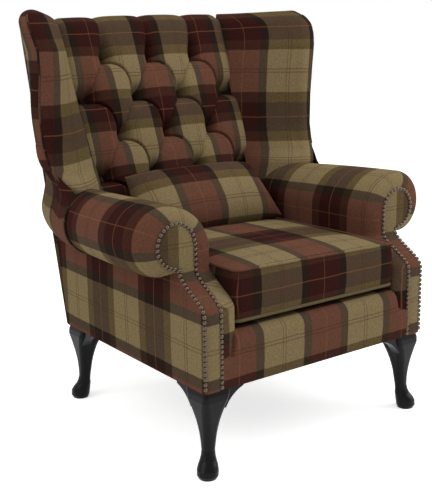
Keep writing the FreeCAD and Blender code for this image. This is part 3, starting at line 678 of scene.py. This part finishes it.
# The outside wing cloth flares over the back of the arm roll and tucks in beneath it. The climb
# lists depths and how high the skirt's upper edge stands there.
skirt = {
    "front": 0.418,
    "top": 0.700,
    "climb": ((0.418, 0.450, 0.476, 0.487, 0.500), (0.585, 0.614, 0.636, 0.662, 0.700)),
    "level": 0.5,
    "lift": 0.003,
    "tuckZ": 0.449,
    "meet": 22,
    "under": -84,
    "reach": 0.55,
    "capBulge": 0.003,
}


# One cross-section of the skirt: it falls in a curve from the wing, follows the roll and tucks in.
def skirtSection(depth, lean, wall):
    centre, radius, rollZ = rollAt(depth)
    radius += skirt["lift"]
    headZ = np.interp(depth, *skirt["climb"])
    nose = wingEdge(headZ)[0] - 0.003
    along = np.interp(depth + lean * (headZ - skirt["level"]), wall[:, 1], wall[:, 0]) + 0.001
    head = np.array([nose + (along - nose) * smooth((depth - 0.485) / 0.03), headZ])
    meet = math.radians(skirt["meet"])
    turns = np.linspace(meet, math.radians(skirt["under"]), 40)
    roll = np.stack([centre + radius * np.cos(turns), rollZ + radius * np.sin(turns)], -1)
    reach = skirt["reach"] * (headZ - roll[0, 1])
    bend = roll[0] + reach * np.array([-math.sin(meet), math.cos(meet)])
    down = head + np.array([0.0, -reach])
    t = np.linspace(0, 1, 30)[:-1, None]
    start = (1 - t) ** 3 * head + 3 * t * (1 - t) ** 2 * down
    fall = start + 3 * t ** 2 * (1 - t) * bend + t ** 3 * roll[0]
    foot = np.array([sideX(depth) - 0.001, skirt["tuckZ"]])
    tuck = roll[-1] + (foot - roll[-1]) * np.linspace(0, 1, 8)[1:, None]
    section = np.concatenate([fall, roll, tuck])
    return np.stack([section[:, 0], np.full(len(section), deep(depth)), section[:, 1]], -1)


def makeSkirt(side):
    depths = np.linspace(skirt["front"], outsideBack(skirt["level"]) - 0.002, 60)
    share = (depths - depths[0]) / (depths[-1] - depths[0])
    leans = chair["backRake"] * share ** 2
    wall = wingLevel(skirt["top"], 1.0)[wing["insideCount"] + 26:]
    points = np.array([skirtSection(depth, lean, wall) for depth, lean in zip(depths, leans)])
    points[..., 1] += leans[:, None] * (points[..., 2] - skirt["level"])
    last = points[-1]
    target = np.minimum(rearCorner(last[:, 2])[0] - 0.006, last[:, 0])
    steps = np.linspace(0, 1, 9)[1:]
    cap = np.repeat(last[None], len(steps), 0)
    cap[..., 0] += (target - last[:, 0]) * steps[:, None]
    cap[..., 1] += skirt["capBulge"] * np.sin(steps * math.pi / 2)[:, None]
    points = np.concatenate([points, cap])
    depths = np.concatenate([depths, depths[-1] + 0.02 * steps])
    values = wingCloth["outside"]
    upward = (points[:, 0, 2][:, None] - runAlong(points, 1) - values["tanHeight"]) * values["stretch"]
    across = np.broadcast_to((depths - 0.5)[:, None], upward.shape) + values["across"][0]
    points[..., 0] *= sides[side]
    piece = sheetMesh(side + "WingSkirt", points, np.stack([across, upward], -1), flip=sides[side] > 0)
    place(piece, wool, "chair", [side + "_wing_skirt"])
    welt = points[0, 10:] + np.array([0, -0.001, 0])
    cord = cordMesh(side + "WingWelt", welt, wing["weltRadius"], False, wing["weltCloth"])
    return place(cord, wool, "chair")


for side in sides:
    makeWing(side)
    makeSkirt(side)
print("wings made")

# The buttoned back. Groove and pit entries are a depth and a width.
back = {
    "pitch": 0.1455,
    "rowRise": 0.09875,
    "topRow": 0.890,
    "tuft": 0.036,
    "half": 0.280,
    "cell": 0.0020,
    "bowDark": 0.027,
    "bowSoft": 0.012,
    "rollBase": 0.008,
    "rollStart": 0.964,
    "topTilt": 0.007,
    "creaseShare": 0.84,
    "relief": 0.84,
    "plainAbove": 0.030,
    "reliefAtSide": 0.55,
    "grooveSpan": 0.120,
    "darkGroove": (0.0130, 0.0022),
    "softGroove": (0.0022, 0.0024),
    "pit": (0.030, 0.015),
    "crown": 0.004,
    "edge": (0.245, 0.035, 0.012),
    "fullness": 1.42,
    "stretch": 1.15,
    "warpMiddle": 0.1400,
    "rowWeft": -0.125,
    "topWeft": 0.056,
    "riseStretch": 1.05,
    "lowestRow": 4.5,
}


def backProfile():
    tilt = math.atan(chair["insideRake"])
    rowSlope = back["rowRise"] / math.cos(tilt)
    lowT = -back["lowestRow"] * rowSlope
    highT = (back["rollStart"] - back["topRow"]) / math.cos(tilt)
    straight = np.arange(lowT, highT, back["cell"])
    z = back["topRow"] + straight * math.cos(tilt)
    base = np.stack([buttonPlane(z), z], -1)
    normal = np.broadcast_to(np.array([-math.cos(tilt), math.sin(tilt)]), base.shape)
    centre = base[-1] - normal[-1] * back["rollBase"]
    turns = np.linspace(math.pi - tilt, -math.radians(4), 60)[1:]
    arcNormal = np.stack([np.cos(turns), np.sin(turns)], -1)
    arc = centre + arcNormal * back["rollBase"]
    reach = (back["rollBase"] + back["tuft"]) * np.abs(turns - turns[0])
    run = np.concatenate([straight, straight[-1] + reach + back["cell"]])
    return np.concatenate([base, arc]), np.concatenate([normal, arcNormal]), run, rowSlope


# Place of each point in the diamond lattice. Both numbers are whole at a button, and one of them is
# whole along a crease.
def lattice(x, t, rowSlope):
    inX = np.clip(x, -1.5 * back["pitch"], 1.5 * back["pitch"]) / back["pitch"]
    first = inX + np.minimum(t, 0) / (2 * rowSlope)
    second = inX - np.minimum(t, 0) / (2 * rowSlope)
    for _ in range(5):
        darkBow = back["bowDark"] * np.sin(math.pi * second) ** 2
        softBow = back["bowSoft"] * np.sin(math.pi * first) ** 2
        first = inX + np.minimum(t - darkBow, 0) / (2 * rowSlope)
        second = inX - np.minimum(t - softBow, 0) / (2 * rowSlope)
    return first, second


def makeBack():
    base, normal, run, rowSlope = backProfile()
    x = np.arange(-back["half"], back["half"] + back["cell"] / 2, back["cell"])
    gridX, gridT = np.meshgrid(x, run)
    first, second = lattice(gridX, gridT, rowSlope)
    a, b = np.abs(np.sin(math.pi * first)), np.abs(np.sin(math.pi * second))
    crease = back["creaseShare"] * (1 - (1 - a) * (1 - b)) ** 0.62
    dome = (1 - back["creaseShare"]) * (a * b) ** 0.36
    shape = crease + dome
    upper = smooth(gridT / (run[-1] * 0.9))
    outer = smooth((np.abs(gridX) - 1.5 * back["pitch"]) / 0.05)
    above = np.exp(-np.maximum(gridT, 0) / back["plainAbove"])
    relief = (1 - back["relief"] + back["relief"] * above) * (1 - (1 - back["reliefAtSide"]) * outer)
    level = 1 - (1 - shape) * relief
    darkWay = np.abs(first - np.round(first)) * back["grooveSpan"]
    softWay = np.abs(second - np.round(second)) * back["grooveSpan"]

    def hollow(key, way):
        deepest, width = back[key]
        return deepest * np.exp(-(way / width) ** 2)

    groove = hollow("darkGroove", darkWay) + hollow("softGroove", softWay)
    groove = groove * np.where(gridT > 0, 0.9 * above ** 2, 1.0)
    pit = hollow("pit", np.hypot(darkWay, softWay)) * np.where(gridT > 0, above, 1.0)
    crown = back["crown"] * (1 - (gridX / back["half"]) ** 2)
    edgeStart, edgeWidth, edgeDrop = back["edge"]
    edge = edgeDrop * smooth((np.abs(gridX) - edgeStart) / edgeWidth)
    out = back["tuft"] * level - pit - groove + crown - edge
    depth = base[:, :1] + normal[:, :1] * out
    z = base[:, 1:] + normal[:, 1:] * out + back["topTilt"] * gridX / back["half"] * upper
    points = np.stack([gridX, deep(depth), z], -1)
    corners = backCloth(gridX, gridT, first, second, rowSlope)
    piece = sheetMesh("insideBack", points, corners=corners)
    return place(piece, wool, "chair", ["inside_back_pad"])


# Each diamond shows a piece of cloth of its own, since the rest is folded away in the creases.
def backCloth(gridX, gridT, first, second, rowSlope):
    def faceMean(values):
        return (values[:-1, :-1] + values[:-1, 1:] + values[1:, 1:] + values[1:, :-1]) / 4

    cellP, cellQ = np.floor(faceMean(first)), np.floor(faceMean(second))
    centreX = (cellP + cellQ + 1) / 2 * back["pitch"]
    centreRow = (cellP - cellQ) / 2
    centreT = centreRow * 2 * rowSlope
    rows = -2 * centreRow
    atX = np.stack([gridX[:-1, :-1], gridX[:-1, 1:], gridX[1:, 1:], gridX[1:, :-1]], -1)
    atT = np.stack([gridT[:-1, :-1], gridT[:-1, 1:], gridT[1:, 1:], gridT[1:, :-1]], -1)
    across = back["warpMiddle"] + centreX[..., None] * back["fullness"]
    across = across + (atX - centreX[..., None]) * back["stretch"]
    upward = back["topWeft"] + rows[..., None] * back["rowWeft"]
    upward = upward + (atT - centreT[..., None]) * back["riseStretch"]
    return np.stack([across, upward], -1)


buttons = {"radius": 0.0115, "height": 0.007, "sunk": 0.018, "rings": 5, "sectors": 18}


def makeButtons():
    tilt = math.atan(chair["insideRake"])
    outward = Vector((0, -math.cos(tilt), math.sin(tilt)))
    domes = []
    for row in range(5):
        z = back["topRow"] - row * back["rowRise"]
        columns = (-1, 0, 1) if row % 2 == 0 else (-1.5, -0.5, 0.5, 1.5)
        for column in columns:
            surface = Vector((column * back["pitch"], deep(buttonPlane(z)), z))
            domes.append((surface - outward * buttons["sunk"], outward))
    piece = domeMesh("backButtons", domes, buttons)
    layer = piece.data.uv_layers.new(name="cloth")
    for corner, spot in zip(piece.data.loops, layer.data):
        point = piece.data.vertices[corner.vertex_index].co
        spot.uv = (point.x + 0.1, point.z + 0.12)
    return place(piece, wool, "chair", ["back_buttons"])


outsideBackPanel = {"top": 0.980, "stand": 0.0025, "puff": 0.005, "tanHeight": 0.36}


def makeOutsideBack():
    z = np.linspace(chair["legHeight"], outsideBackPanel["top"], 80)
    share = np.linspace(-1, 1, 80)
    x = rearCorner(z)[0][:, None] * share
    lift = (z - z[0]) / (z[-1] - z[0])
    puff = outsideBackPanel["puff"] * np.sqrt((1 - share ** 2)[None, :] * np.sin(math.pi * lift)[:, None])
    heights = np.broadcast_to(z[:, None], x.shape)
    depth = outsideBack(heights) + outsideBackPanel["stand"] + puff
    points = np.stack([x, deep(depth), heights], -1)
    cloth = np.stack([x, heights - outsideBackPanel["tanHeight"]], -1)
    piece = sheetMesh("outsideBack", points, cloth, flip=True)
    return place(piece, wool, "chair", ["outside_back_panel"])


makeBack()
makeButtons()
makeOutsideBack()
print("back made")

# The cloth over the front seat rail.
rail = {
    "half": 0.2975, "top": 0.329, "endTop": 0.288, "shoulder": 0.256, "end": 0.268, "round": 0.026,
    "warpMiddle": -0.119, "weftMiddle": 0.281, "back": 0.060,
}


def makeRail():
    x = np.linspace(-rail["half"], rail["half"], 150)
    top = rail["top"] - (rail["top"] - rail["endTop"]) * smooth(
        (np.abs(x) - rail["shoulder"]) / (rail["end"] - rail["shoulder"]))
    rows = []
    for xi, ti in zip(x, top):
        front = np.linspace(chair["legHeight"], ti - rail["round"], 26)
        turns = np.linspace(0, math.pi / 2, 14)[1:]
        z = np.concatenate([front, ti - rail["round"] + rail["round"] * np.sin(turns), [ti, ti]])
        depth = np.concatenate([np.zeros(26), rail["round"] * (1 - np.cos(turns)), [0.04, rail["back"]]])
        lift = (z - chair["legHeight"]) / (ti - chair["legHeight"])
        bulge = 0.004 * np.sin(math.pi * np.clip(lift, 0, 1)) ** 0.7
        rows.append(np.stack([np.full(len(z), xi), deep(depth - bulge), z], -1))
    points = np.array(rows)
    climb = runAlong(points, 1) + chair["legHeight"] - rail["weftMiddle"]
    across = np.broadcast_to((x - rail["warpMiddle"])[:, None], climb.shape)
    piece = sheetMesh("frontRail", points, np.stack([across, climb], -1))
    return place(piece, wool, "chair", ["front_border"])


cushion = {
    "half": 0.251, "shift": 0.005, "front": 0.014, "back": 0.545, "low": 0.3435, "leftTop": 0.458,
    "rightTop": 0.447, "crown": 0.018, "bulge": 0.006, "corner": 0.014, "warpMiddle": -0.119,
    "taupeHeight": 0.400, "cell": 0.008, "topPipe": 0.0036, "lowPipe": 0.0042,
}


# Plan outline of the cushion with rounded corners, in even steps.
def cushionOutline():
    half, front, rear = cushion["half"], cushion["front"], cushion["back"]
    corner = cushion["corner"]
    points = []
    corners = ((-half, front, 180), (half, front, 270), (half, rear, 0), (-half, rear, 90))
    for x, depth, start in corners:
        inX = x - math.copysign(corner, x)
        inDepth = depth + (corner if depth == front else -corner)
        for angle in np.radians(np.linspace(start, start + 90, 14)):
            points.append((inX + corner * math.cos(angle), inDepth + corner * math.sin(angle)))
    loop = np.array(points + points[:1])
    run = np.concatenate([[0], np.cumsum(np.hypot(*np.diff(loop, axis=0).T))])
    even = np.linspace(0, run[-1], int(run[-1] / cushion["cell"]))
    return np.stack([np.interp(even, run, loop[:, i]) for i in (0, 1)], -1)


def cushionTop(x):
    share = (x / cushion["half"] + 1) / 2
    return cushion["leftTop"] + (cushion["rightTop"] - cushion["leftTop"]) * share


# The top or the underside of the cushion, from its edge in to the middle.
def cushionFace(name, edge, crown, isTop):
    middle = (cushion["front"] + cushion["back"]) / 2
    centre = np.array([0, deep(middle), 0])
    rings = []
    for share in np.linspace(1, 0, 40) ** 0.8:
        flat = centre + (edge - centre) * share
        px = np.clip(np.abs(flat[:, 0]) / cushion["half"], 0, 1)
        py = np.clip(np.abs(flat[:, 1] - deep(middle)) / (cushion["back"] - middle), 0, 1)
        lift = crown * ((1 - px ** 3) * (1 - py ** 3)) ** 0.6
        level = cushionTop(flat[:, 0]) if isTop else np.full(len(flat), cushion["low"])
        rings.append(np.stack([flat[:, 0], flat[:, 1], level + lift], -1))
    surface = np.array(rings)
    inward = surface[..., 1] - deep(cushion["front"])
    frontEdge = cushion["leftTop"] - cushion["taupeHeight"] + plaid["weftRepeat"] / 2
    cloth = np.stack([surface[..., 0] - cushion["warpMiddle"], inward + frontEdge], -1)
    return sheetMesh(name, surface, cloth, flip=not isTop)


def makeCushion():
    loop = cushionOutline()
    top = cushionTop(loop[:, 0])
    away = loop - np.array([0, (cushion["front"] + cushion["back"]) / 2])
    away /= np.hypot(away[:, 0], away[:, 1])[:, None]
    rows = []
    for share in np.linspace(0, 1, 18):
        bulge = cushion["bulge"] * (math.sin(math.pi * share) ** 0.7 - 0.35)
        flat = loop + away * bulge
        z = cushion["low"] + (top - cushion["low"]) * share
        rows.append(np.stack([flat[:, 0], deep(flat[:, 1]), z], -1))
    wall = np.array(rows)
    isFront = np.abs(wall[..., 0]) < cushion["half"] - 0.012
    sideRun = wall[..., 1] - deep(cushion["front"])
    across = np.where(isFront, wall[..., 0], np.sign(wall[..., 0]) * (cushion["half"] + sideRun))
    upward = wall[..., 2] - cushion["taupeHeight"] + plaid["weftRepeat"] / 2
    cloth = np.stack([across - cushion["warpMiddle"], upward], -1)
    wall[..., 0] += cushion["shift"]
    pieces = [
        sheetMesh("cushionBorder", wall, cloth),
        cushionFace("cushionTop", wall[-1], cushion["crown"], True),
        cushionFace("cushionUnder", wall[0], 0.0, False),
    ]
    for piece in pieces:
        place(piece, wool, "seat_cushion")
    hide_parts("seat_cushion_cover", "seat_cushion_foam")
    edge = wall[-1][:-1]
    across = edge[:, 0] - cushion["warpMiddle"]
    cord = cordMesh("cushionTopPiping", edge, cushion["topPipe"], True, (0, 0.03), across=across)
    place(cord, wool, "seat_cushion")
    cord = cordMesh("cushionLowPiping", wall[0][:-1], cushion["lowPipe"], True, (0.02, 0.02))
    place(cord, piping, "seat_cushion")


pillow = {
    "halfWidth": 0.237, "topHalfWidth": 0.204, "halfHeight": 0.096, "thickness": 0.056,
    "warpMiddle": 0.092, "weftMiddle": -0.034, "middle": 0.534, "lean": 38, "depth": 0.455,
}


def makePillow():
    share = np.linspace(-1, 1, 121)
    a, b = np.meshgrid(share, share)
    halfWidth = pillow["halfWidth"] + (pillow["topHalfWidth"] - pillow["halfWidth"]) * (b + 1) / 2
    flatX = halfWidth * a * (1 - 0.03 * (1 - np.abs(b) ** 2.2))
    flatZ = pillow["halfHeight"] * b * (0.92 + 0.08 * (1 - np.abs(a) ** 4))
    swell = ((1 - np.abs(a) ** 3.2) * (1 - np.abs(b) ** 2.4)) ** 0.55
    for sign, name in ((-1, "pillowFront"), (1, "pillowBack")):
        y = sign * pillow["thickness"] * swell
        lean = math.radians(pillow["lean"])
        depth = pillow["depth"] + y * math.cos(lean) + flatZ * math.sin(lean)
        z = pillow["middle"] + flatZ * math.cos(lean) - y * math.sin(lean)
        points = np.stack([flatX, deep(depth), z], -1)
        run = runAlong(points, 0)
        cloth = np.stack([flatX - pillow["warpMiddle"], run - run[60:61] - pillow["weftMiddle"]], -1)
        piece = sheetMesh(name, points, cloth, flip=sign > 0)
        place(piece, wool, "lumbar_pillow")
    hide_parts("lumbar_pillow_cover", "lumbar_pillow_filling")


makeRail()
makeCushion()
makePillow()
print("seat made")

# Legs and the frame parts under the cloth keep their CAD shapes.
for name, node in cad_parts.items():
    if name.endswith("_leg"):
        node.data.materials.clear()
        node.data.materials.append(lacquer)
    if name == "dust_cover":
        node.data.materials.clear()
        node.data.materials.append(lining)

# The camera's place and angles were solved from the photograph.
stage = {
    "cameraPlace": (-1.5277, -1.9522, 0.9653),
    "heading": -37.998,
    "pitch": -12.424,
    "roll": -0.686,
    "focalPixels": 970.475,
    "frameHeight": 488,
    "floorHalf": 12.0,
    "floorGlow": 0.55,
    "ambient": 0.62,
}


# How much of the background a ray sees: 1 for the camera and through gloss or glass, else 0.
def seenShare(tree):
    path = tree.nodes.new("ShaderNodeLightPath").outputs
    seen = mathNode(tree, "MAXIMUM", path["Is Camera Ray"], path["Is Glossy Ray"])
    return mathNode(tree, "MAXIMUM", seen, path["Is Transmission Ray"])


def makeStage():
    floorMesh = bpy.data.meshes.new("floor")
    half = stage["floorHalf"]
    corners = [(-half, -half, 0), (half, -half, 0), (half, half, 0), (-half, half, 0)]
    floorMesh.from_pydata(corners, [], [(0, 1, 2, 3)])
    floor = linked("floor", floorMesh)
    pale = newMaterial("paleFloor", linear(252, 252, 251), 0.9, specular=0.1)
    shader = shaderOf(pale)
    shader.inputs["Emission Color"].default_value = (1, 1, 1, 1)
    tree = pale.node_tree
    glow = mathNode(tree, "MULTIPLY", seenShare(tree), stage["floorGlow"])
    tree.links.new(glow, shader.inputs["Emission Strength"])
    floorMesh.materials.append(pale)
    world = bpy.data.worlds.new("paleRoom")
    bpy.context.scene.world = world
    world.use_nodes = True
    tree = world.node_tree
    tree.nodes["Background"].inputs["Color"].default_value = (1, 1, 1, 1)
    ambient = stage["ambient"]
    strength = mathNode(tree, "MULTIPLY_ADD", seenShare(tree), 1 - ambient, ambient)
    tree.links.new(strength, tree.nodes["Background"].inputs["Strength"])


def makeLight(name, spot, target, size, power):
    data = bpy.data.lights.new(name, "AREA")
    data.energy = power
    data.size = size
    lamp = linked(name, data)
    way = Vector(target) - Vector(spot)
    lamp.matrix_world = Matrix.Translation(spot) @ way.to_track_quat("-Z", "Y").to_matrix().to_4x4()


def makeCamera():
    data = bpy.data.cameras.new("camera")
    camera = linked("camera", data)
    data.sensor_width = 36
    data.lens = stage["focalPixels"] / stage["frameHeight"] * 36
    heading, pitch = math.radians(stage["heading"]), math.radians(stage["pitch"])
    turn = Matrix.Rotation(heading, 4, "Z") @ Matrix.Rotation(math.pi / 2 + pitch, 4, "X")
    turn = turn @ Matrix.Rotation(math.radians(stage["roll"]), 4, "Z")
    camera.matrix_world = Matrix.Translation(stage["cameraPlace"]) @ turn
    bpy.context.scene.camera = camera


makeStage()
makeLight("rightLight", (2.4, -1.6, 1.8), (0, 0, 0.5), 2.2, 52)
makeLight("topLight", (0, -0.4, 3.4), (0, 0, 0.5), 2.2, 42)
makeLight("leftLight", (-2.8, 0.2, 2.0), (0, 0, 0.5), 2.2, 34)
makeCamera()
bpy.context.scene.view_settings.view_transform = "Standard"
print("stage made")
